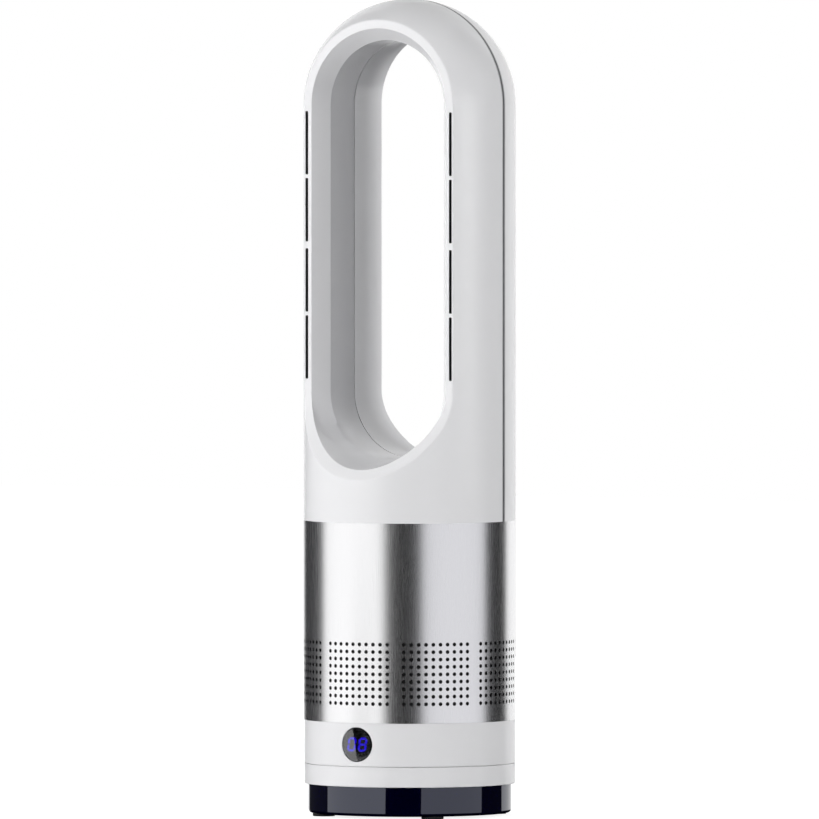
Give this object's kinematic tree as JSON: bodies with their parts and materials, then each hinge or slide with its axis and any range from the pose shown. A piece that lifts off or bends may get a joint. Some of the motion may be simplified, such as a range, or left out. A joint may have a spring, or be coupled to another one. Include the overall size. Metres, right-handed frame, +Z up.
{
  "type": "bladeless tower fan",
  "caption": "Free-standing bladeless fan: a round column with a perforated metal intake sleeve that ends in a tall open loop with air slots in its rim.",
  "frame": {"origin": "centre of the column's axis on the plane the feet stand on", "axes": "+Z up along the column, -Y the front, where the display and the slots face"},
  "size_m": [0.19, 0.19, 0.7311],
  "materials": {
    "soft_black_rubber": "matt",
    "gloss_black": "polished",
    "black_plastic": "satin",
    "white_plastic": "smooth",
    "grey_plastic": "moulded",
    "smoked_lens": "polished",
    "lit_digits": "lit",
    "display_black": "satin",
    "brushed_sleeve": "brushed",
    "ballast_steel": "raw",
    "zinc_screws": "zinc plated",
    "post_aluminium": "machined",
    "gear_nylon": "moulded",
    "steel_parts": "plated",
    "magnet_grey": "coated",
    "lamination_steel": "stacked",
    "copper_winding": "enamelled",
    "board_green": "lacquered",
    "capacitor_sleeve": "sleeved",
    "socket_white": "moulded",
    "heatsink_black": "anodised",
    "switch_black": "moulded",
    "plunger_ivory": "moulded",
    "impeller_white": "moulded",
    "foam_seal": "soft"
  },
  "bodies": {
    "base": {"rubber_feet": "soft_black_rubber", "base_plate": "black_plastic", "base_shell": "gloss_black", "ballast_ring": "ballast_steel", "base_screws": "zinc_screws", "cord_gland": "black_plastic", "pivot_post": "post_aluminium", "retaining_washer": "post_aluminium", "drive_screws": "zinc_screws", "washer_screws": "zinc_screws", "glide_ring": "black_plastic", "fixed_gear": "gear_nylon"},
    "tower": {"intake_cage": "black_plastic", "left_nozzle": "black_plastic", "right_nozzle": "black_plastic", "lower_skirt": "white_plastic", "control_ring": "white_plastic", "front_shell": "white_plastic", "rear_shell": "white_plastic", "turntable": "grey_plastic", "impeller_shroud": "grey_plastic", "diffuser": "grey_plastic", "pod_cap": "grey_plastic", "outlet_duct": "grey_plastic", "neck_plate": "grey_plastic", "flow_splitter": "grey_plastic", "digit_segments": "lit_digits", "display_module": "display_black", "ir_receiver": "display_black", "intake_sleeve": "brushed_sleeve", "small_screws": "zinc_screws", "chassis_screws": "zinc_screws", "fan_screws": "zinc_screws", "pivot_bush": "gear_nylon", "lower_bearing": "steel_parts", "upper_bearing": "steel_parts", "motor_can": "steel_parts", "swing_motor": "steel_parts", "motor_stator": "lamination_steel", "motor_coils": "copper_winding", "control_board": "board_green", "display_board": "board_green", "board_capacitors": "capacitor_sleeve", "board_connectors": "socket_white", "board_heatsink": "heatsink_black", "tact_switches": "switch_black", "shroud_gasket": "foam_seal", "duct_seal": "foam_seal", "motor_damper": "foam_seal"},
    "impeller": {"impeller": "impeller_white", "impeller_nut": "steel_parts", "motor_shaft": "steel_parts", "motor_rotor": "magnet_grey"},
    "swing_pinion": {"swing_pinion": "gear_nylon", "swing_shaft": "steel_parts"},
    "display_button": {"display_button": "smoked_lens", "switch_plungers": "plunger_ivory"}
  },
  "joints": [
    {"name": "oscillation", "type": "hinge", "parent": "base", "child": "tower", "pos_m": [0, 0, 0.0328], "axis": [0, 0, 1], "range_deg": [-40, 40]},
    {"name": "impeller_spin", "type": "hinge", "parent": "tower", "child": "impeller", "pos_m": [0, 0, 0.14], "axis": [0, 0, 1], "continuous": true},
    {"name": "pinion_spin", "type": "hinge", "parent": "tower", "child": "swing_pinion", "pos_m": [0.04, 0, 0.0285], "axis": [0, 0, 1], "range_deg": [-121, 121]},
    {"name": "display_press", "type": "slide", "parent": "tower", "child": "display_button", "axis": [0, 1, 0], "range_m": [0, 0.0008], "stiffness_N_per_m": 2500}
  ],
  "couplings": [
    {"joint": "pinion_spin", "follows": "oscillation", "ratio": 3}
  ]
}
